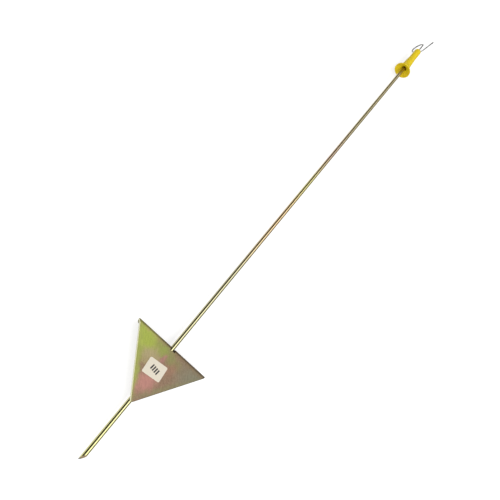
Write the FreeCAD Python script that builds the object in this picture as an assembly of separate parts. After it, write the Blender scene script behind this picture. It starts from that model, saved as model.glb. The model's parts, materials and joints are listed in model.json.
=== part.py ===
import FreeCAD
import Part

import math
import os

# Step-in fence post for temporary grazing fences.
#
# A round steel rod is pushed into the ground by a boot on its tread plate.  The plate is a
# triangular sheet with its top edge folded back, welded to the front of the rod.  A moulded
# plastic head insulator sits on the rod's upper end, and a pigtail of spring wire in its top
# carries the fence line.
#
# All pieces are built with the post standing: Z runs up the rod from the tip of the spike,
# the front looks to -Y and X is to the right.  The finished post is then laid on its back,
# as it comes to rest on a floor: on the rear edge of the tread and the back of the wire ring.
# Sizes are in millimetres.

# Rod
ROD_DIAMETER = 7.0
ROD_LENGTH = 961.0
TIP_CUT_LENGTH = 9.5
TIP_CUT_TURN = 40.0

# Tread plate
SHEET_THICKNESS = 3.0
PLATE_WIDTH = 134.6
PLATE_HEIGHT = 92.1
PLATE_POINT_OFFSET = -2.8
PLATE_TOP_HEIGHT = 181.0
PLATE_SLANT = 1.95
PLATE_TIP_RADIUS = 3.0
BEND_INNER_RADIUS = 1.5
TREAD_DEPTH = 22.5
TREAD_END_ANGLE = 27.0
TREAD_CORNER_RADIUS = 6.0
SHEET_EDGE_RADIUS = 0.9
NOTCH_GAP = 1.0
NOTCH_BELOW_BEND = 0.4

# Fillet welds, one each side of the rod at two heights of the plate
WELD_ROOT = 1.5
WELD_LEG = 2.3
WELD_RISE = 2.8
WELD_LENGTH = 24.0
WELD_BELOW_TREAD = 12.0
WELD_ABOVE_PLATE_TIP = 22.0

# Paper label on the front of the plate
LABEL_WIDTH = 30.6
LABEL_HEIGHT = 22.9
LABEL_THICKNESS = 0.2
LABEL_CORNER_RADIUS = 2.0
LABEL_BELOW_TOP = 39.1
LABEL_OFFSET = -4.2
LABEL_TURN = 5.0

# Head insulator
SOCKET_DEPTH = 41.5
INSULATING_WEB = 14.5
WIRE_SEAT_DEPTH = 23.0
FIT_CLEARANCE = 0.02
RIM_DIAMETER = 33.6
RIM_HEIGHT = 1.5
RIM_WALL = 1.5
BELL_DEPTH = 8.0
BELL_FLARE_HEIGHT = 12.1
BELL_HEIGHT = 25.5
MOUTH_GAP = 1.6
MOUTH_DEPTH = 11.0
NECK_DIAMETER = 16.6
SHOULDER_HEIGHT = 38.5
SHOULDER_DIAMETER = 15.2
GRIP_HEIGHT = 47.5
GRIP_DIAMETER = 13.6
DOME_HEIGHT = 6.0
DOME_STEPS = 2

# Pigtail wire
WIRE_DIAMETER = 2.5
STEM_RISE = 20.5
RING_RADIUS = 12.0
RING_BACK_TURN = -6.4
RING_FRONT_TURN = 27.4
RING_FRONT_ANGLE = 166.0
TAIL_LENGTH = 35.0

# Places that follow from the sizes above
ROD_RADIUS = ROD_DIAMETER / 2
PLATE_BACK = -ROD_RADIUS
PLATE_FRONT = PLATE_BACK - SHEET_THICKNESS
TREAD_BACK = PLATE_FRONT + TREAD_DEPTH
BEND_OUTER_RADIUS = BEND_INNER_RADIUS + SHEET_THICKNESS
RIM_LEVEL = ROD_LENGTH - SOCKET_DEPTH
DOME_TOP_LEVEL = ROD_LENGTH + INSULATING_WEB + WIRE_SEAT_DEPTH
RING_LEVEL = DOME_TOP_LEVEL + STEM_RISE
WIRE_RADIUS = WIRE_DIAMETER / 2

# Share of a radius that a point half way round a quarter turn lies along each axis
DIAGONAL = math.sqrt(0.5)
# Distance below which two faces count as one plane
FLUSH = 1e-4

ORIGIN = FreeCAD.Vector(0, 0, 0)
X_AXIS = FreeCAD.Vector(1, 0, 0)
Y_AXIS = FreeCAD.Vector(0, 1, 0)
Z_AXIS = FreeCAD.Vector(0, 0, 1)


def rounded_outline(corners):
    """Closed wire through corners given as (point, radius), each rounded by its radius."""
    count = len(corners)
    starts = []
    ends = []
    middles = []
    for i, (point, radius) in enumerate(corners):
        to_last = (corners[i - 1][0] - point).normalize()
        to_next = (corners[(i + 1) % count][0] - point).normalize()
        half_angle = to_last.getAngle(to_next) / 2
        setback = radius / math.tan(half_angle)
        inward = (to_last + to_next).normalize()
        starts.append(point + to_last * setback)
        ends.append(point + to_next * setback)
        middles.append(point + inward * (radius / math.sin(half_angle) - radius))
    edges = []
    for i in range(count):
        if corners[i][1] > 0:
            edges.append(Part.Arc(starts[i], middles[i], ends[i]).toShape())
        edges.append(Part.LineSegment(ends[i], starts[(i + 1) % count]).toShape())
    return Part.Wire(edges)


def prism(corners, along):
    """Solid swept from a rounded outline along a vector."""
    return Part.Face(rounded_outline(corners)).extrude(along)


def make_post_rod():
    """Round bar with one slanting shear cut at its lower end."""
    bar = Part.makeCylinder(ROD_RADIUS, ROD_LENGTH, ORIGIN, Z_AXIS)
    slope = math.degrees(math.atan(TIP_CUT_LENGTH / ROD_DIAMETER))
    size = 2 * (TIP_CUT_LENGTH + ROD_DIAMETER)
    below_cut = Part.makeBox(size, size, size, FreeCAD.Vector(-size / 2, -size / 2, -size))
    below_cut.rotate(ORIGIN, X_AXIS, -slope)
    below_cut.translate(FreeCAD.Vector(0, ROD_RADIUS, 0))
    below_cut.rotate(ORIGIN, Z_AXIS, TIP_CUT_TURN)
    return bar.cut(below_cut)


def folded_strip():
    """Sheet folded back at the top, as wide as the plate and square at its ends."""

    def at(y, z):
        return FreeCAD.Vector(-PLATE_WIDTH / 2, y, z)

    bend_y = PLATE_FRONT + BEND_OUTER_RADIUS
    bend_z = -BEND_OUTER_RADIUS
    outer = DIAGONAL * BEND_OUTER_RADIUS
    inner = DIAGONAL * BEND_INNER_RADIUS
    outer_middle = at(bend_y - outer, bend_z + outer)
    inner_middle = at(bend_y - inner, bend_z + inner)
    section = [
        Part.LineSegment(at(PLATE_FRONT, -PLATE_HEIGHT), at(PLATE_FRONT, bend_z)),
        Part.Arc(at(PLATE_FRONT, bend_z), outer_middle, at(bend_y, 0)),
        Part.LineSegment(at(bend_y, 0), at(TREAD_BACK, 0)),
        Part.LineSegment(at(TREAD_BACK, 0), at(TREAD_BACK, -SHEET_THICKNESS)),
        Part.LineSegment(at(TREAD_BACK, -SHEET_THICKNESS), at(bend_y, -SHEET_THICKNESS)),
        Part.Arc(at(bend_y, -SHEET_THICKNESS), inner_middle, at(PLATE_BACK, bend_z)),
        Part.LineSegment(at(PLATE_BACK, bend_z), at(PLATE_BACK, -PLATE_HEIGHT)),
        Part.LineSegment(at(PLATE_BACK, -PLATE_HEIGHT), at(PLATE_FRONT, -PLATE_HEIGHT)),
    ]
    face = Part.Face(Part.Wire([line.toShape() for line in section]))
    return face.extrude(FreeCAD.Vector(PLATE_WIDTH, 0, 0))


def plate_outline_prism():
    """Triangle seen from the front, reaching through the whole depth of the plate."""
    y = PLATE_FRONT - SHEET_THICKNESS
    corners = [
        (FreeCAD.Vector(-PLATE_WIDTH / 2, y, 0), 0),
        (FreeCAD.Vector(PLATE_WIDTH / 2, y, 0), 0),
        (FreeCAD.Vector(PLATE_POINT_OFFSET, y, -PLATE_HEIGHT), PLATE_TIP_RADIUS),
    ]
    return prism(corners, FreeCAD.Vector(0, TREAD_DEPTH + 2 * SHEET_THICKNESS, 0))


def tread_outline_prism():
    """Tread seen from above: full width at the plate, narrower towards its rear edge."""
    half = PLATE_WIDTH / 2
    bend_end = PLATE_FRONT + BEND_OUTER_RADIUS
    narrow = half - (TREAD_BACK - bend_end) * math.tan(math.radians(TREAD_END_ANGLE))
    front = PLATE_FRONT - SHEET_THICKNESS
    z = -PLATE_HEIGHT - SHEET_THICKNESS
    corners = [
        (FreeCAD.Vector(-half, front, z), 0),
        (FreeCAD.Vector(-half, bend_end, z), TREAD_CORNER_RADIUS),
        (FreeCAD.Vector(-narrow, TREAD_BACK, z), TREAD_CORNER_RADIUS),
        (FreeCAD.Vector(narrow, TREAD_BACK, z), TREAD_CORNER_RADIUS),
        (FreeCAD.Vector(half, bend_end, z), TREAD_CORNER_RADIUS),
        (FreeCAD.Vector(half, front, z), 0),
    ]
    return prism(corners, FreeCAD.Vector(0, 0, PLATE_HEIGHT + 2 * SHEET_THICKNESS))


def rod_notch():
    """Slot through the fold and the tread, open to the front, for the rod to pass."""
    radius = ROD_RADIUS + NOTCH_GAP
    depth = BEND_OUTER_RADIUS + NOTCH_BELOW_BEND
    front = PLATE_FRONT - SHEET_THICKNESS
    bottom = FreeCAD.Vector(0, 0, -depth)
    height = depth + SHEET_THICKNESS
    slot = Part.makeBox(2 * radius, -front, height, FreeCAD.Vector(-radius, front, -depth))
    return slot.fuse(Part.makeCylinder(radius, height, bottom, Z_AXIS))


def front_outline_edges(shape):
    """The plate's slanting edges and its rounded tip, on the front face."""
    found = []
    for edge in shape.Edges:
        box = edge.BoundBox
        on_front = box.YMax - box.YMin < FLUSH and abs(box.YMin - PLATE_FRONT) < FLUSH
        if on_front and box.ZMin < -BEND_OUTER_RADIUS - FLUSH:
            found.append(edge)
    return found


def lean_with_plate(shape):
    """Lift a piece built at the plate's top middle to its place, leaning as the plate does."""
    shape.rotate(ORIGIN, Y_AXIS, -PLATE_SLANT)
    shape.translate(FreeCAD.Vector(0, 0, PLATE_TOP_HEIGHT))
    return shape


def make_tread_plate():
    """Triangular plate with its top edge folded back as a tread, notched round the rod."""
    plate = folded_strip().common(plate_outline_prism())
    plate = plate.common(tread_outline_prism()).removeSplitter()
    plate = plate.makeFillet(SHEET_EDGE_RADIUS, front_outline_edges(plate))
    plate = plate.cut(rod_notch())
    return lean_with_plate(plate)


def fillet_weld(side, middle_height):
    """Weld in the corner between one side of the rod and the back of the plate."""
    low = middle_height - WELD_LENGTH / 2
    corners = [
        (FreeCAD.Vector(side * WELD_ROOT, PLATE_BACK, low), 0),
        (FreeCAD.Vector(side * (ROD_RADIUS + WELD_LEG), PLATE_BACK, low), 0),
        (FreeCAD.Vector(side * ROD_RADIUS, PLATE_BACK + WELD_RISE, low), 0),
    ]
    rod = Part.makeCylinder(ROD_RADIUS, ROD_LENGTH, ORIGIN, Z_AXIS)
    return prism(corners, Z_AXIS * WELD_LENGTH).cut(rod)


def make_weld_beads():
    """Four welds that join the plate to the rod, two under the tread and two lower down."""
    upper = PLATE_TOP_HEIGHT - SHEET_THICKNESS - WELD_BELOW_TREAD - WELD_LENGTH / 2
    lower = PLATE_TOP_HEIGHT - PLATE_HEIGHT + WELD_ABOVE_PLATE_TIP + WELD_LENGTH / 2
    welds = []
    for height in (upper, lower):
        for side in (-1, 1):
            welds.append(fillet_weld(side, height))
    return Part.makeCompound(welds)


def make_label():
    """Thin paper label with round corners, stuck a little askew on the plate."""
    x = LABEL_WIDTH / 2
    z = LABEL_HEIGHT / 2
    corners = []
    for corner_x, corner_z in ((-x, -z), (x, -z), (x, z), (-x, z)):
        corners.append((FreeCAD.Vector(corner_x, PLATE_FRONT, corner_z), LABEL_CORNER_RADIUS))
    label = prism(corners, FreeCAD.Vector(0, -LABEL_THICKNESS, 0))
    label.rotate(ORIGIN, Y_AXIS, -LABEL_TURN)
    label.translate(FreeCAD.Vector(LABEL_OFFSET, 0, -LABEL_BELOW_TOP))
    return lean_with_plate(label)


def insulator_section(at):
    """Half section of the insulator as edges, from the bottom of its socket round to the wire's seat."""
    bore = ROD_RADIUS + FIT_CLEARANCE
    mouth = ROD_RADIUS + MOUTH_GAP
    seat = WIRE_RADIUS + FIT_CLEARANCE
    rim = RIM_DIAMETER / 2
    neck = NECK_DIAMETER / 2
    grip = GRIP_DIAMETER / 2
    mouth_top = BELL_DEPTH + MOUTH_DEPTH
    seat_bottom = SOCKET_DEPTH + INSULATING_WEB
    dome_start = seat_bottom + WIRE_SEAT_DEPTH - DOME_HEIGHT
    below_bell = [
        at(0, SOCKET_DEPTH),
        at(bore, SOCKET_DEPTH),
        at(bore, mouth_top),
        at(mouth, mouth_top),
        at(mouth, BELL_DEPTH),
        at(rim - RIM_WALL, 0),
        at(rim, 0),
        at(rim, RIM_HEIGHT),
    ]
    above_bell = [
        at(neck, BELL_HEIGHT),
        at(SHOULDER_DIAMETER / 2, SHOULDER_HEIGHT),
        at(grip, GRIP_HEIGHT),
        at(grip, dome_start),
    ]
    turn_to_seat = math.acos(seat / grip)
    for step in range(1, DOME_STEPS + 1):
        turn = turn_to_seat * step / DOME_STEPS
        above_bell.append(at(grip * math.cos(turn), dome_start + DOME_HEIGHT * math.sin(turn)))
    above_bell += [at(seat, seat_bottom), at(0, seat_bottom), at(0, SOCKET_DEPTH)]
    bell = Part.BezierCurve()
    bell.setPoles([below_bell[-1], at(neck, BELL_FLARE_HEIGHT), above_bell[0]])
    edges = [bell.toShape()]
    for corners in (below_bell, above_bell):
        for start, end in zip(corners, corners[1:]):
            edges.append(Part.LineSegment(start, end).toShape())
    return edges


def make_head_insulator():
    """Moulded insulator: rain bell with a socket for the rod, tapered grip and domed top."""

    def at(x, z):
        return FreeCAD.Vector(x, 0, RIM_LEVEL + z)

    outline = Part.Wire(Part.__sortEdges__(insulator_section(at)))
    return Part.Face(outline).revolve(ORIGIN, Z_AXIS, 360)


def ring_arc(start, forward, up, angle):
    """Arc that leaves start along up and bends towards forward, with its end point and heading."""
    turn = math.radians(angle)

    def point(t):
        return start + forward * (RING_RADIUS * (1 - math.cos(t))) + up * (RING_RADIUS * math.sin(t))

    heading = forward * math.sin(turn) + up * math.cos(turn)
    return Part.Arc(start, point(turn / 2), point(turn)), point(turn), heading


def ring_back_direction():
    """Level direction in which the ring leaves the stem, towards the back of the post."""
    turn = math.radians(RING_BACK_TURN)
    return FreeCAD.Vector(math.sin(turn), math.cos(turn), 0)


def make_pigtail_wire():
    """One wire: a stem seated in the insulator, a full ring behind it and a straight tail."""
    low = FreeCAD.Vector(0, 0, ROD_LENGTH + INSULATING_WEB)
    ring_start = FreeCAD.Vector(0, 0, RING_LEVEL)
    front_turn = math.radians(RING_FRONT_TURN)
    front = FreeCAD.Vector(math.sin(front_turn), -math.cos(front_turn), 0)
    back_arc, back_end, _ = ring_arc(ring_start, ring_back_direction(), Z_AXIS, 180)
    front_arc, front_end, heading = ring_arc(back_end, front, -Z_AXIS, RING_FRONT_ANGLE)
    path = [
        Part.LineSegment(low, ring_start),
        back_arc,
        front_arc,
        Part.LineSegment(front_end, front_end + heading * TAIL_LENGTH),
    ]
    path = Part.Wire([line.toShape() for line in path])
    section = Part.Wire(Part.makeCircle(WIRE_RADIUS, low, Z_AXIS))
    return path.makePipeShell([section], True, True)


def lay_down(shapes):
    """Turn the standing post on its back, level it on its rests and centre it on the origin."""
    ring_back = 2 * RING_RADIUS * ring_back_direction().y + WIRE_RADIUS
    tread_level = PLATE_TOP_HEIGHT
    tilt_on_ring = math.atan2(ring_back - TREAD_BACK, RING_LEVEL - tread_level)
    tilt_on_rim = math.atan2(RIM_DIAMETER / 2 - TREAD_BACK, RIM_LEVEL - tread_level)
    tilt = math.degrees(max(tilt_on_ring, tilt_on_rim))
    for shape in shapes:
        shape.rotate(ORIGIN, X_AXIS, tilt - 90)
    box = Part.makeCompound(shapes).optimalBoundingBox(False)
    to_origin = FreeCAD.Vector(-box.Center.x, -box.Center.y, -box.ZMin)
    for shape in shapes:
        shape.translate(to_origin)
    return tilt, to_origin


def main():
    pieces = {
        "post_rod": make_post_rod(),
        "tread_plate": make_tread_plate(),
        "weld_beads": make_weld_beads(),
        "label": make_label(),
        "head_insulator": make_head_insulator(),
        "pigtail_wire": make_pigtail_wire(),
    }
    tilt, to_origin = lay_down(list(pieces.values()))
    print("laid down with a tilt of %.4f degrees and a shift of %s" % (tilt, to_origin))
    os.makedirs("parts", exist_ok=True)
    for name, shape in pieces.items():
        shape.exportStep("parts/" + name + ".step")
        print(name, "valid", shape.isValid(), "solids", len(shape.Solids), "volume", shape.Volume)


main()
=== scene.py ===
import json
import math

import bmesh
import bpy
from mathutils import Matrix, Vector


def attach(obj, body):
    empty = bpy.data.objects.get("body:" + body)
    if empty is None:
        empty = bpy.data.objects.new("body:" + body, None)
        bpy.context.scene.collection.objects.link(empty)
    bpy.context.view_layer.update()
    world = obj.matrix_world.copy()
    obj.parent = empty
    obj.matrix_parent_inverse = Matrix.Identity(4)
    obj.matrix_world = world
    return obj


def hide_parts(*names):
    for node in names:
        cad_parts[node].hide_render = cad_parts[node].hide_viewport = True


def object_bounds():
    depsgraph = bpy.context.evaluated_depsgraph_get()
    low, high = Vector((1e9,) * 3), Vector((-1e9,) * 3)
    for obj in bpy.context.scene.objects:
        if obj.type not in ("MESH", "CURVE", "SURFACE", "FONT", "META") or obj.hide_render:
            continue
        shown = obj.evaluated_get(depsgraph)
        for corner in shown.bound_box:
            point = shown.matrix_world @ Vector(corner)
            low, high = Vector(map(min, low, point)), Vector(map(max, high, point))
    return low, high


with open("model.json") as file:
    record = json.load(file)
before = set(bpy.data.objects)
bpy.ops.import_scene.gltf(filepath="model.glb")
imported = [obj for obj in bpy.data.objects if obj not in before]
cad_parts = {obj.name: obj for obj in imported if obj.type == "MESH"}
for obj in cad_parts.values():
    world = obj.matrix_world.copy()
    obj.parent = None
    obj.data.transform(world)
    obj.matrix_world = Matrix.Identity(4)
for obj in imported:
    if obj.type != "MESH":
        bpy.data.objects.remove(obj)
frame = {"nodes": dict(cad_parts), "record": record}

# A step-in fence post lying on a pale floor: yellow zinc plated rod and tread plate, a paper
# label, welds, a moulded insulator and its pigtail wire.  Lengths are in metres; MM turns the
# millimetres of a drawing into metres.
MM = 0.001
CAD_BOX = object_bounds()
TIP_END = CAD_BOX[0][1]
TAIL_END = CAD_BOX[1][1]

# Camera, as the photograph was taken: above the spike's left, rolled so the post runs up right
CAMERA_PLACE = Vector((-0.2562, -0.5051, 0.6785))
CAMERA_TARGET = Vector((0.0018, -0.1384, 0.0))
CAMERA_UP = Vector((-0.718, 0.689, 0.099))
CAMERA_LENS = 36.0
CAMERA_SENSOR = 36.0
CAMERA_REACH = (0.01, 50.0)

# Insulator's radii and heights, in millimetres from the post's axis and above its rim
RIM_ABOVE_TIP = 919.5
SOCKET_RADIUS = 3.52
SOCKET_FLOOR = 41.5
MOUTH_RADIUS = 5.1
MOUTH_FLOOR = 19.0
BELL_RADIUS = 15.3
BELL_FLOOR = 8.0
RIM_RADIUS = 16.75
RIM_HEIGHT = 1.5
NECK_RADIUS = 8.3
FLARE_HEIGHT = 12.1
NECK_HEIGHT = 25.5
SHOULDER_RADIUS = 7.6
SHOULDER_HEIGHT = 38.5
GRIP_RADIUS = 6.8
GRIP_HEIGHT = 47.5
TOP_HEIGHT = 79.0
SEAT_RADIUS = 1.27
SEAT_FLOOR = 56.0
AROUND = 96
ROUNDING_STEPS = 10
SEAM_RIDGE = 0.12
SEAM_START = 27.0

# Welds behind the plate, in millimetres from the post's axis and from the tip
PLATE_BACK = 3.5
BEAD_RADIUS = 2.1
BEAD_SIDES = 20
BEAD_CENTRE = (4.0, 3.1)
BEAD_LENGTH = 24.0
BEAD_MIDDLES = (122.9, 154.0)
BEAD_RIPPLE = 0.09
BEAD_RIPPLE_PITCH = 1.5
BEAD_STEP = 0.25
BEAD_END_SIZE = 0.25

# Upper end of the bar along Y, inside the insulator, and the length of its sheared face in mm
BAR_END = 0.436
SHEAR_LENGTH = 9.5

# Dark end of the wire: it begins and is full this many millimetres before the tail's end
TAIL_DARKENS = 8.0
TAIL_DARK = 5.0

# Plate, in millimetres
PLATE_TOP_ABOVE_TIP = 181.0
PLATE_SLANT = math.radians(1.95)
LABEL_BELOW_TOP = 39.1
LABEL_OFFSET = -4.2
LABEL_TURN = math.radians(5.0)

# Printed bars on the label, in millimetres
BAR_PITCH = 3.8
BAR_WIDTH = 2.2
BARS_HALF_WIDTH = 7.0
BARS_HALF_HEIGHT = 3.8

# Nearly all of a noise texture's values lie in this span
NOISE_SPAN = (0.3, 0.7)

# Film along the bar, from the tip to the bar's upper end
BAR_FILM = (
    (0.0, "C6C388"), (0.18, "BAB58C"), (0.34, "AEA886"), (0.47, "C0A780"),
    (0.55, "C3BC80"), (0.66, "C2A890"), (0.75, "BBB088"), (1.0, "BFB088"))

# Stains of the passivation film on the plate: colour, then centre, half width and half height
# in millimetres from the middle of the plate's top edge, turn in degrees and strength
FILM_STAINS = (
    ("908B74", (64, -14), (56, 44), 0, 1.0),
    ("A8B354", (-42, -14), (44, 32), -35, 1.0),
    ("969460", (0, -13), (38, 13), -5, 0.9),
    ("B2A37C", (-20, -30), (24, 15), 20, 0.9),
    ("C08C80", (0, -60), (20, 25), -30, 1.0),
    ("A6AE5C", (-26, -56), (11, 86), 35, 0.85),
    ("9AA654", (-11, -13), (15, 13), 0, 0.75),
    ("A67E68", (17, -25), (13, 16), 0, 0.6),
    ("B4807A", (-3, -21), (8, 13), 0, 0.8),
    ("938C68", (32, -46), (8, 70), -37, 0.8),
    ("917C60", (22, 0), (80, 8), 0, 0.9),
    ("B3A56C", (-48, -2), (42, 9), 0, 0.8),
)
STAIN_WANDER = 14.0
STAIN_FULL = 0.8
FILM_LEVEL = (0.5, 0.72)

# Studio: floor, cards as name, size, place and the axis they are turned upright about, and lamps
# as name, size, watts, place, target and turn in degrees
FLOOR_SIZE = (12, 12)
FLOOR_GLOW = 0.68
SURROUND_LIGHT = 0.6
CARDS = (
    ("left_card", (2.6, 7), (-1.4, 0, 1.3), "Y"),
    ("right_card", (1.8, 7), (1.8, 0, 0.9), "Y"),
    ("far_card", (3.4, 1.2), (0.2, 2.6, 0.6), "X"),
)
LAMPS = (
    ("soft_box", (2.2, 0.9), 13.0, (0.28, 0.0, 1.6), (0, 0, 0), 8),
    ("fill", (2.2, 1.6), 24.0, (-0.2, -2.2, 1.4), (0, 0.3, 0), 0),
)


def paint(code):
    """Linear colour of an sRGB hex code."""
    values = [int(code[place:place + 2], 16) / 255 for place in (0, 2, 4)]
    linear = [v / 12.92 if v <= 0.04045 else ((v + 0.055) / 1.055) ** 2.4 for v in values]
    return (*linear, 1.0)


def fill(tree, node, inputs):
    """Give a node's sockets a value or a link."""
    for socket, value in dict(inputs).items():
        if isinstance(value, bpy.types.NodeSocket):
            tree.links.new(value, node.inputs[socket])
        else:
            node.inputs[socket].default_value = value


def add(tree, kind, inputs=(), stops=(), **settings):
    """Add a node: inputs gives its sockets a value or a link, stops are a ramp's colours."""
    node = tree.nodes.new(kind)
    for name, value in settings.items():
        setattr(node, name, value)
    fill(tree, node, inputs)
    for index, (place, code) in enumerate(stops):
        ramp = node.color_ramp.elements
        stop = ramp[index] if index < 2 else ramp.new(place)
        stop.position = place
        stop.color = paint(code)
    return node


def calc(tree, operation, *values):
    """Result of a sum on numbers."""
    return add(tree, "ShaderNodeMath", enumerate(values), operation=operation).outputs[0]


def vector_calc(tree, operation, *values):
    """Result of a sum on vectors."""
    return add(tree, "ShaderNodeVectorMath", enumerate(values), operation=operation).outputs[0]


def scaled(tree, vector, factor):
    """Vector or colour multiplied by a number."""
    return add(tree, "ShaderNodeVectorMath", {0: vector, "Scale": factor},
               operation="SCALE").outputs[0]


def ranged(tree, value, low, high, span=(0.0, 1.0)):
    """Number that runs from low to high while value runs through a span."""
    return add(tree, "ShaderNodeMapRange", {
        "Value": value, "From Min": span[0], "From Max": span[1],
        "To Min": low, "To Max": high}).outputs[0]


def noise(tree, vector, scale, detail, roughness=0.5):
    """Noise texture."""
    return add(tree, "ShaderNodeTexNoise", {
        "Vector": vector, "Scale": scale, "Detail": detail, "Roughness": roughness})


def ramp(tree, value, stops):
    """Colour from a ramp."""
    return add(tree, "ShaderNodeValToRGB", {"Fac": value}, stops).outputs[0]


def blend(tree, share, under, over):
    """Colour laid over another by its share."""
    return add(tree, "ShaderNodeMix", {"Factor": share, "A": under, "B": over},
               data_type="RGBA").outputs["Result"]


def bumped(tree, height, strength, millimetres):
    """Surface normal roughened by a height."""
    return add(tree, "ShaderNodeBump", {
        "Height": height, "Strength": strength, "Distance": millimetres * MM}).outputs[0]


def outward(tree):
    """X, Y and Z of the surface's outward direction."""
    facing = add(tree, "ShaderNodeNewGeometry")
    return add(tree, "ShaderNodeSeparateXYZ", {0: facing.outputs["Normal"]}).outputs


def background_rays(tree):
    """One for the rays that show the background: camera, glossy and transmission rays."""
    rays = add(tree, "ShaderNodeLightPath").outputs
    seen = calc(tree, "MAXIMUM", rays["Is Camera Ray"], rays["Is Glossy Ray"])
    return calc(tree, "MAXIMUM", seen, rays["Is Transmission Ray"])


def new_material(name):
    """Empty node material with its shader linked to the output."""
    material = bpy.data.materials.new(name)
    material.use_nodes = True
    tree = material.node_tree
    tree.nodes.clear()
    shader = add(tree, "ShaderNodeBsdfPrincipled")
    add(tree, "ShaderNodeOutputMaterial", {"Surface": shader.outputs[0]})
    return material, tree, shader


def object_place(tree):
    """Place on the post, in metres."""
    return add(tree, "ShaderNodeTexCoord").outputs["Object"]


def plate_place(tree, origin, turn):
    """Place on the plate's front, in millimetres from an origin and turned about it."""
    return add(tree, "ShaderNodeMapping", {
        "Vector": object_place(tree), "Location": origin, "Rotation": (0, 0, turn),
        "Scale": (MM, MM, MM)}, vector_type="TEXTURE").outputs[0]


def mount(name):
    """Place and axis of one of the post's interfaces."""
    for entry in frame["record"]["mounts"]:
        if entry["name"] == name:
            return Vector(entry["pos_m"]), Vector(entry["axis"])
    raise KeyError(name)


def standing_to_lying():
    """Matrix that lays a piece, built standing with Z up the rod and Y to the back, on the floor."""
    tip, down = mount("ground_spike")
    up = -down.normalized()
    right = Vector((1, 0, 0))
    back = up.cross(right)
    turn = Matrix((right, back, up)).transposed().to_4x4()
    return Matrix.Translation(tip) @ turn


LAY = standing_to_lying()
PLATE_TOP = Vector((0, -PLATE_BACK * MM, PLATE_TOP_ABOVE_TIP * MM))


def finish_piece(bm, name, material, node, smooth_angle):
    """Lay a standing bmesh down as a finished piece in place of a node."""
    bmesh.ops.remove_doubles(bm, verts=bm.verts, dist=0.002 * MM)
    bmesh.ops.recalc_face_normals(bm, faces=bm.faces)
    bmesh.ops.transform(bm, matrix=LAY, verts=bm.verts)
    for face in bm.faces:
        face.smooth = True
    mesh = bpy.data.meshes.new(name)
    bm.to_mesh(mesh)
    bm.free()
    mesh.set_sharp_from_angle(angle=smooth_angle)
    mesh.materials.append(material)
    piece = bpy.data.objects.new(name, mesh)
    bpy.context.scene.collection.objects.link(piece)
    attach(piece, "root")
    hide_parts(node)
    return piece


def yellow_zinc_on_drawn_bar():
    """Drawn steel bar, zinc plated and yellow passivated: the film drifts from lemon to copper."""
    material, tree, shader = new_material("yellow_zinc_on_drawn_bar")
    place = object_place(tree)
    along_post = add(tree, "ShaderNodeSeparateXYZ", {0: place}).outputs["Y"]
    # The bath's film drifts along the bar; the drift wanders by a few centimetres
    along = ranged(tree, along_post, 0.0, 1.0, (TIP_END, BAR_END))
    long_way = add(tree, "ShaderNodeMapping", {"Vector": place, "Scale": (60, 1 / 0.067, 60)})
    wander = noise(tree, long_way.outputs[0], 1.0, 3.0)
    drift = calc(tree, "MULTIPLY_ADD", wander.outputs["Fac"], 0.14, -0.07)
    film = ramp(tree, calc(tree, "ADD", along, drift), BAR_FILM)
    # Drawing lines of 0.4 mm, drawn coarser than the real ones so that they show
    lines = add(tree, "ShaderNodeMapping", {"Vector": place, "Scale": (2500, 30, 2500)})
    drawn = noise(tree, lines.outputs[0], 1.0, 3.0).outputs["Fac"]
    tone = scaled(tree, film, ranged(tree, drawn, 0.86, 1.08, NOISE_SPAN))
    # The shine is sharp at the spike, where the ground polishes it, and dull toward the head
    dull = calc(tree, "MULTIPLY_ADD", drawn, 0.1, ranged(tree, along, 0.1, 0.26))
    # Only the sheared face looks toward the tip: bare steel, tan with rust, grey at the point
    sheared = ranged(tree, outward(tree)["Y"], 1.0, 0.0, (-0.5, -0.25))
    point = ranged(tree, along_post, 0.0, 1.0, (TIP_END, TIP_END + SHEAR_LENGTH * MM))
    point = calc(tree, "ADD", point, calc(tree, "MULTIPLY_ADD", drawn, 0.3, -0.15))
    steel = ramp(tree, point, ((0.1, "66645C"), (0.35, "94805C"), (0.9, "9C8660")))
    rough = add(tree, "ShaderNodeMix", {"Factor": sheared, "A": dull, "B": 0.6}, data_type="FLOAT")
    fill(tree, shader, {
        "Base Color": blend(tree, sheared, tone, steel),
        "Metallic": ranged(tree, sheared, 1.0, 0.6),
        "Roughness": rough.outputs[0],
        "Normal": bumped(tree, drawn, 0.25, 0.02)})
    return material


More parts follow.
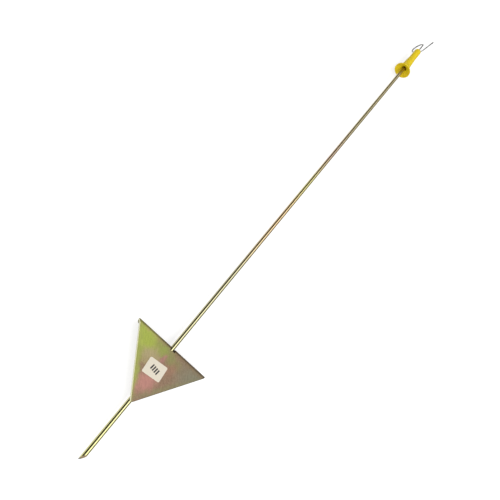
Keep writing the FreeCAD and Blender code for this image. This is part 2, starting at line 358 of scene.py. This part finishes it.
def yellow_zinc_on_rolled_sheet():
    """Rolled sheet, zinc plated and yellow passivated: a dull film stained green, tan and pink."""
    material, tree, shader = new_material("yellow_zinc_on_rolled_sheet")
    on_plate = plate_place(tree, LAY @ PLATE_TOP, -PLATE_SLANT)
    # Rolled grain runs down along the left edge, 0.6 mm wide and about 9 mm long
    along = add(tree, "ShaderNodeMapping", {
        "Vector": on_plate, "Rotation": (0, 0, math.radians(-50)), "Scale": (9.0, 0.6, 1.0)},
        vector_type="TEXTURE")
    grain = noise(tree, along.outputs[0], 1.0, 4.0, 0.6)
    fleck = noise(tree, on_plate, 0.5, 5.0, 0.7).outputs["Fac"]
    # Edges of the stains wander by a few millimetres and fray along the grain
    wander = noise(tree, on_plate, 1 / 11, 5.0, 0.6)
    offset = vector_calc(tree, "ADD", wander.outputs["Color"], grain.outputs["Color"])
    offset = vector_calc(tree, "SUBTRACT", offset, (1, 1, 1))
    stained = vector_calc(tree, "ADD", on_plate, scaled(tree, offset, STAIN_WANDER))
    colour = ramp(tree, fleck, ((0.3, "8A725A"), (0.5, "9C806A"), (0.7, "A08C70")))
    for code, centre, half, turn, strength in FILM_STAINS:
        reach = add(tree, "ShaderNodeMapping", {
            "Vector": stained, "Location": (*centre, 0),
            "Rotation": (0, 0, math.radians(turn)), "Scale": (*half, 1000)}, vector_type="TEXTURE")
        spot = add(tree, "ShaderNodeTexGradient", {"Vector": reach.outputs[0]},
                   gradient_type="SPHERICAL")
        share = add(tree, "ShaderNodeMapRange", {
            "Value": spot.outputs["Fac"], "From Max": STAIN_FULL, "To Max": strength},
            interpolation_type="SMOOTHSTEP")
        colour = blend(tree, share.outputs[0], colour, paint(code))
    # The film swallows about a third of the light, a little more between the grain's ridges
    shade = ranged(tree, grain.outputs["Fac"], *FILM_LEVEL, NOISE_SPAN)
    shade = calc(tree, "MULTIPLY", shade, ranged(tree, fleck, 0.84, 1.12, NOISE_SPAN))
    # The edges facing left are painted pale cream and made less metallic: a painted reflection of the
    # bright floor beside them
    side = outward(tree)
    painted_reflection_edge = ranged(tree, calc(tree, "MAXIMUM", side["X"], side["Y"]), 1.0, 0.0, (-0.3, -0.04))
    fill(tree, shader, {
        # Painted reflection: the left-facing edges turn pale cream
        "Base Color": blend(tree, painted_reflection_edge, scaled(tree, colour, shade), paint("E2E0BC")),
        "Metallic": ranged(tree, painted_reflection_edge, 0.9, 0.2),
        "Roughness": ranged(tree, fleck, 0.42, 0.55, NOISE_SPAN),
        "Normal": bumped(tree, grain.outputs["Fac"], 0.3, 0.05)})
    return material


def yellow_zinc_on_weld():
    """Weld metal under the same plating: duller and darker, with soot in its ripples."""
    material, tree, shader = new_material("yellow_zinc_on_weld")
    soot = noise(tree, object_place(tree), 600.0, 4.0).outputs["Fac"]
    fill(tree, shader, {
        "Base Color": ramp(tree, soot, ((0.3, "5E5238"), (0.5, "9B8A55"), (0.7, "B5A763"))),
        "Metallic": 1.0,
        "Roughness": 0.5,
        "Normal": bumped(tree, soot, 0.4, 0.1)})
    return material


def uncoated_paper_label():
    """Uncoated label paper: matt warm white with fibres, and a plain block of printed bars."""
    material, tree, shader = new_material("uncoated_paper_label")
    lean = Matrix.Rotation(-PLATE_SLANT, 4, "Y")
    middle = LAY @ (PLATE_TOP + lean @ Vector((LABEL_OFFSET * MM, 0, -LABEL_BELOW_TOP * MM)))
    on_label = plate_place(tree, middle, -PLATE_SLANT - LABEL_TURN)
    fibre = noise(tree, on_label, 1.5, 5.0, 0.65).outputs["Fac"]
    paper = ramp(tree, fibre, ((0.3, "D0C7B6"), (0.7, "DAD2C0")))
    # Four short bars in one row: the ink lies far from the middle of each gap, inside the block
    apart = add(tree, "ShaderNodeSeparateXYZ", {0: on_label}).outputs
    from_gap = calc(tree, "PINGPONG", apart["X"], BAR_PITCH / 2)
    ink = calc(tree, "GREATER_THAN", from_gap, (BAR_PITCH - BAR_WIDTH) / 2)
    ink = calc(tree, "MULTIPLY", ink, calc(tree, "COMPARE", apart["X"], 0.0, BARS_HALF_WIDTH))
    ink = calc(tree, "MULTIPLY", ink, calc(tree, "COMPARE", apart["Y"], 0.0, BARS_HALF_HEIGHT))
    fill(tree, shader, {
        "Base Color": blend(tree, ink, paper, paint("2E2C2C")),
        "Roughness": 0.75,
        "Normal": bumped(tree, fibre, 0.3, 0.03)})
    return material


def moulded_yellow_polypropylene():
    """Injection moulded polypropylene: waxy, a little see-through at thin rims, satin skin."""
    material, tree, shader = new_material("moulded_yellow_polypropylene")
    place = object_place(tree)
    cloud = noise(tree, place, 90.0, 3.0).outputs["Fac"]
    skin = noise(tree, place, 1800.0, 2.0).outputs["Fac"]
    fill(tree, shader, {
        "Base Color": ramp(tree, cloud, ((0.3, "E2C400"), (0.5, "E6CA00"), (0.7, "E9CE00"))),
        "Roughness": ranged(tree, cloud, 0.5, 0.6, NOISE_SPAN),
        "IOR": 1.45,
        "Subsurface Weight": 0.25,
        "Subsurface Radius": (1.0, 0.75, 0.1),
        "Subsurface Scale": 3.0 * MM,
        "Normal": bumped(tree, skin, 0.15, 0.03)})
    return material


def drawn_stainless_spring_wire():
    """Drawn stainless spring wire: grey and slightly dull, with darker patches."""
    material, tree, shader = new_material("drawn_stainless_spring_wire")
    place = object_place(tree)
    bloom = noise(tree, place, 110.0, 4.0).outputs["Fac"]
    colour = ramp(tree, bloom, ((0.3, "6E6E6C"), (0.5, "9C9C98"), (0.7, "B4B4B0")))
    # The tail's last millimetres are dark, as in the photograph
    along = add(tree, "ShaderNodeSeparateXYZ", {0: place}).outputs["Y"]
    clean = ranged(tree, along, 1.0, 0.4, (TAIL_END - TAIL_DARKENS * MM, TAIL_END - TAIL_DARK * MM))
    grit = noise(tree, place, 2500.0, 2.0).outputs["Fac"]
    fill(tree, shader, {
        "Base Color": scaled(tree, colour, clean),
        "Metallic": 1.0,
        "Roughness": ranged(tree, bloom, 0.42, 0.3, NOISE_SPAN),
        "Normal": bumped(tree, grit, 0.2, 0.03)})
    return material


def refinish(node, material):
    """Give a node of the frame its finish."""
    for slot in frame["nodes"][node].material_slots:
        slot.material = material


def insulator_profile():
    """Half section from socket to wire seat: radius, height and rounding of each corner in mm."""
    return (
        (0, SOCKET_FLOOR, 0), (SOCKET_RADIUS, SOCKET_FLOOR, 0), (SOCKET_RADIUS, MOUTH_FLOOR, 0),
        (MOUTH_RADIUS, MOUTH_FLOOR, 0.4), (MOUTH_RADIUS, BELL_FLOOR, 0.9), (BELL_RADIUS, 0, 0.3),
        (RIM_RADIUS, 0, 0.45), (RIM_RADIUS, RIM_HEIGHT, 0.45), (NECK_RADIUS, FLARE_HEIGHT, 12.6),
        (NECK_RADIUS, NECK_HEIGHT, 0), (SHOULDER_RADIUS, SHOULDER_HEIGHT, 4),
        (GRIP_RADIUS, GRIP_HEIGHT, 4), (GRIP_RADIUS, TOP_HEIGHT, 5.2),
        (SEAT_RADIUS, TOP_HEIGHT, 0), (SEAT_RADIUS, SEAT_FLOOR, 0), (0, SEAT_FLOOR, 0),
    )


def moulded_insulator(material):
    """Rain bell, neck, grip and dome turned from one profile, with the mould's parting line."""
    bm = bmesh.new()
    corners = []
    for radius, height, rounding in insulator_profile():
        corners.append((bm.verts.new((radius * MM, 0, (RIM_ABOVE_TIP + height) * MM)), rounding))
    for (start, _), (end, _) in zip(corners, corners[1:]):
        bm.edges.new((start, end))
    for corner, rounding in corners:
        if rounding:
            bmesh.ops.bevel(bm, geom=[corner], offset=rounding * MM, segments=ROUNDING_STEPS,
                            profile=0.5, affect="VERTICES", material=-1)
    bmesh.ops.spin(bm, geom=bm.verts[:] + bm.edges[:], cent=(0, 0, 0), axis=(0, 0, 1),
                   angle=math.tau, steps=AROUND, use_merge=True)
    for vert in bm.verts:
        outside = math.hypot(vert.co.x, vert.co.y) > (GRIP_RADIUS - 0.2) * MM
        above = vert.co.z > (RIM_ABOVE_TIP + SEAM_START) * MM
        if outside and above and abs(vert.co.y) < 0.01 * MM:
            vert.co.x += math.copysign(SEAM_RIDGE * MM, vert.co.x)
    piece = finish_piece(bm, "moulded_insulator", material, "head_insulator", math.radians(50))


def rippled_welds(material):
    """Four weld beads, laid as overlapping ripples in the corners between rod and plate."""
    bm = bmesh.new()
    for middle in BEAD_MIDDLES:
        for side in (-1, 1):
            lay_bead(bm, side, middle)
    piece = finish_piece(bm, "rippled_welds", material, "weld_beads", math.radians(60))


def lay_bead(bm, side, middle):
    """One bead: a round section pulled along the post, swelling with each ripple."""
    centre = Vector((side * BEAD_CENTRE[0], -BEAD_CENTRE[1], middle - BEAD_LENGTH / 2)) * MM
    made = bmesh.ops.create_circle(bm, cap_ends=True, segments=BEAD_SIDES,
                                   radius=BEAD_RADIUS * MM, matrix=Matrix.Translation(centre))
    ring = made["verts"]
    bead = list(ring)
    steps = round(BEAD_LENGTH / BEAD_STEP)
    face = ring[0].link_faces[0]
    before = end_scale(0, steps)
    bmesh.ops.scale(bm, vec=(before,) * 3, verts=ring, space=Matrix.Translation(-centre))
    for step in range(1, steps + 1):
        made = bmesh.ops.extrude_face_region(bm, geom=[face])["geom"]
        ring = [item for item in made if isinstance(item, bmesh.types.BMVert)]
        bmesh.ops.delete(bm, geom=[face], context="FACES_ONLY")
        face = [item for item in made if isinstance(item, bmesh.types.BMFace)][0]
        bmesh.ops.translate(bm, vec=(0, 0, BEAD_STEP * MM), verts=ring)
        centre.z += BEAD_STEP * MM
        size = end_scale(step, steps)
        bmesh.ops.scale(bm, vec=(size / before, size / before, 1), verts=ring,
                        space=Matrix.Translation(-centre))
        before = size
        bead += ring
    geom = set(bead)
    for vert in bead:
        geom.update(vert.link_edges)
        geom.update(vert.link_faces)
    cut = bmesh.ops.bisect_plane(bm, geom=list(geom), plane_co=(0, -PLATE_BACK * MM, 0),
                                 plane_no=(0, -1, 0), clear_outer=True)["geom_cut"]
    rim = [item for item in cut if isinstance(item, bmesh.types.BMEdge)]
    bmesh.ops.edgeloop_fill(bm, edges=rim)


def end_scale(step, steps):
    """Size of a bead's section: rounded off at both ends, with a saw-toothed ripple between."""
    share = step / steps
    round_off = max(BEAD_END_SIZE, 1 - abs(2 * share - 1) ** 12)
    ripple = (step * BEAD_STEP / BEAD_RIPPLE_PITCH) % 1
    return round_off * (1 - BEAD_RIPPLE * ripple)


def studio_surface(name, size, place, turn, material, camera_sees):
    """A flat sheet of the studio: the floor, or a card that only polished metal shows."""
    bm = bmesh.new()
    bmesh.ops.create_grid(bm, x_segments=1, y_segments=1, size=0.5)
    bmesh.ops.scale(bm, vec=(*size, 1), verts=bm.verts)
    bmesh.ops.transform(bm, matrix=Matrix.Translation(place) @ turn, verts=bm.verts)
    mesh = bpy.data.meshes.new(name)
    bm.to_mesh(mesh)
    bm.free()
    mesh.materials.append(material)
    sheet = bpy.data.objects.new(name, mesh)
    bpy.context.scene.collection.objects.link(sheet)
    sheet.visible_camera = camera_sees
    sheet.visible_diffuse = camera_sees
    sheet.visible_shadow = camera_sees


def pale_floor_paper():
    """Matt white paper; a small glow for camera, glossy and clear rays keeps it white."""
    material, tree, shader = new_material("pale_floor_paper")
    fill(tree, shader, {
        "Base Color": paint("B0B0B0"),
        "Roughness": 0.9,
        "Specular IOR Level": 0.1,
        "Emission Color": (1, 1, 1, 1),
        "Emission Strength": calc(tree, "MULTIPLY", background_rays(tree), FLOOR_GLOW)})
    return material


def dark_card():
    """Matt dark card that gives polished metal its dark edges."""
    material, tree, shader = new_material("dark_card")
    fill(tree, shader, {"Base Color": paint("202020"), "Roughness": 1.0})
    return material


def set_up_world():
    """Plain grey surround for the light; white where camera, glossy or clear rays leave the floor."""
    world = bpy.data.worlds.new("studio")
    bpy.context.scene.world = world
    world.use_nodes = True
    tree = world.node_tree
    tree.nodes.clear()
    level = ranged(tree, background_rays(tree), SURROUND_LIGHT, 1.0)
    sky = add(tree, "ShaderNodeBackground", {"Color": (1, 1, 1, 1), "Strength": level})
    add(tree, "ShaderNodeOutputWorld", {"Surface": sky.outputs[0]})


def soft_light(name, size, watts, place, target, turn):
    """Rectangular soft light, aimed at a point and out of the camera's sight."""
    lamp = bpy.data.lights.new(name, "AREA")
    lamp.shape = "RECTANGLE"
    lamp.size, lamp.size_y = size
    lamp.energy = watts
    light = bpy.data.objects.new(name, lamp)
    light.location = place
    light.rotation_euler = (Vector(target) - Vector(place)).to_track_quat("-Z", "Y").to_euler()
    light.rotation_euler.rotate_axis("Z", math.radians(turn))
    light.visible_camera = False
    bpy.context.scene.collection.objects.link(light)


def set_up_studio():
    """Floor, dark cards, one long soft box above the post's right side and a weak fill."""
    studio_surface("floor", FLOOR_SIZE, (0, 0, 0), Matrix(), pale_floor_paper(), True)
    card = dark_card()
    for name, size, place, axis in CARDS:
        upright = Matrix.Rotation(math.radians(90), 4, axis)
        studio_surface(name, size, place, upright, card, False)
    for lamp in LAMPS:
        soft_light(*lamp)


def set_up_camera():
    """Camera at the photograph's angle, held by its place, target and the picture's up direction."""
    data = bpy.data.cameras.new("camera")
    data.lens = CAMERA_LENS
    data.sensor_width = CAMERA_SENSOR
    data.clip_start, data.clip_end = CAMERA_REACH
    camera = bpy.data.objects.new("camera", data)
    back = (CAMERA_PLACE - CAMERA_TARGET).normalized()
    right = CAMERA_UP.cross(back).normalized()
    up = back.cross(right)
    turn = Matrix((right, up, back)).transposed().to_4x4()
    camera.matrix_world = Matrix.Translation(CAMERA_PLACE) @ turn
    bpy.context.scene.collection.objects.link(camera)
    bpy.context.scene.camera = camera


refinish("post_rod", yellow_zinc_on_drawn_bar())
refinish("tread_plate", yellow_zinc_on_rolled_sheet())
refinish("label", uncoated_paper_label())
refinish("pigtail_wire", drawn_stainless_spring_wire())
moulded_insulator(moulded_yellow_polypropylene())
rippled_welds(yellow_zinc_on_weld())
set_up_world()
set_up_studio()
set_up_camera()
bpy.context.scene.view_settings.view_transform = "Standard"
